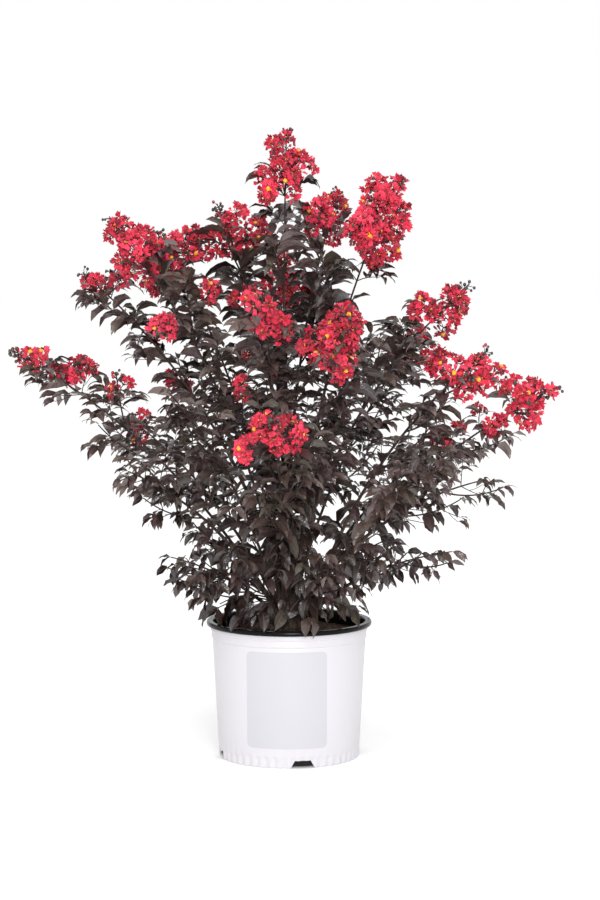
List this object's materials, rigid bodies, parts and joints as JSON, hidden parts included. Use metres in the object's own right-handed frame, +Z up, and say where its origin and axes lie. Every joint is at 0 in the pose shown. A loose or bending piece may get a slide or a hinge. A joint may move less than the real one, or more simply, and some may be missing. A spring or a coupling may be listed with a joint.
{
  "type": "crape myrtle in a nursery pot",
  "caption": "Dark-leaved crape myrtle, a many-stemmed flowering shrub with red panicles, standing in a round white nursery pot with a black lip.",
  "frame": {"origin": "centre of the pot's flat underside", "axes": "+Z up along the pot's axis, -Y to the front, +X to the right of someone who faces the plant"},
  "size_m": [0.9187, 0.7001, 1.056],
  "materials": {
    "pot_white": "satin moulded polypropylene",
    "pot_black": "satin moulded polypropylene",
    "potting_mix": "coarse damp bark compost",
    "bark": "smooth young bark",
    "foliage": "thin leaves with a soft sheen",
    "blossom": "thin crinkled petals"
  },
  "bodies": {
    "root": {"pot": "pot_white", "pot_lip": "pot_black", "potting_mix": "potting_mix", "woody_crown": "bark", "bough_back": "bark", "bough_back_left": "bark", "bough_back_left_high": "bark", "bough_back_low": "bark", "bough_back_low_left": "bark", "bough_back_low_right": "bark", "bough_back_right": "bark", "bough_back_right_high": "bark", "bough_crown_top": "bark", "bough_front_high": "bark", "bough_front_left_high": "bark", "bough_front_left_low": "bark", "bough_front_low": "bark", "bough_front_right_low": "bark", "bough_left_low": "bark", "bough_left_middle": "bark", "bough_left_under": "bark", "bough_right_high": "bark", "bough_right_low": "bark", "bough_right_middle": "bark", "bough_right_under": "bark", "bough_upper_left": "bark", "bough_upper_right": "bark", "foliage_back": "foliage", "foliage_back_left": "foliage", "foliage_back_left_high": "foliage", "foliage_back_low": "foliage", "foliage_back_low_left": "foliage", "foliage_back_low_right": "foliage", "foliage_back_right": "foliage", "foliage_back_right_high": "foliage", "foliage_crown_top": "foliage", "foliage_front_high": "foliage", "foliage_front_left_high": "foliage", "foliage_front_left_low": "foliage", "foliage_front_low": "foliage", "foliage_front_right_low": "foliage", "foliage_left_low": "foliage", "foliage_left_middle": "foliage", "foliage_left_under": "foliage", "foliage_right_high": "foliage", "foliage_right_low": "foliage", "foliage_right_middle": "foliage", "foliage_right_under": "foliage", "foliage_skirt_back": "foliage", "foliage_skirt_back_left": "foliage", "foliage_skirt_back_right": "foliage", "foliage_skirt_front": "foliage", "foliage_skirt_front_left": "foliage", "foliage_skirt_front_right": "foliage", "foliage_skirt_left": "foliage", "foliage_skirt_right": "foliage", "foliage_skirt_side_left": "foliage", "foliage_upper_left": "foliage", "foliage_upper_right": "foliage"}
  },
  "joints": []
}
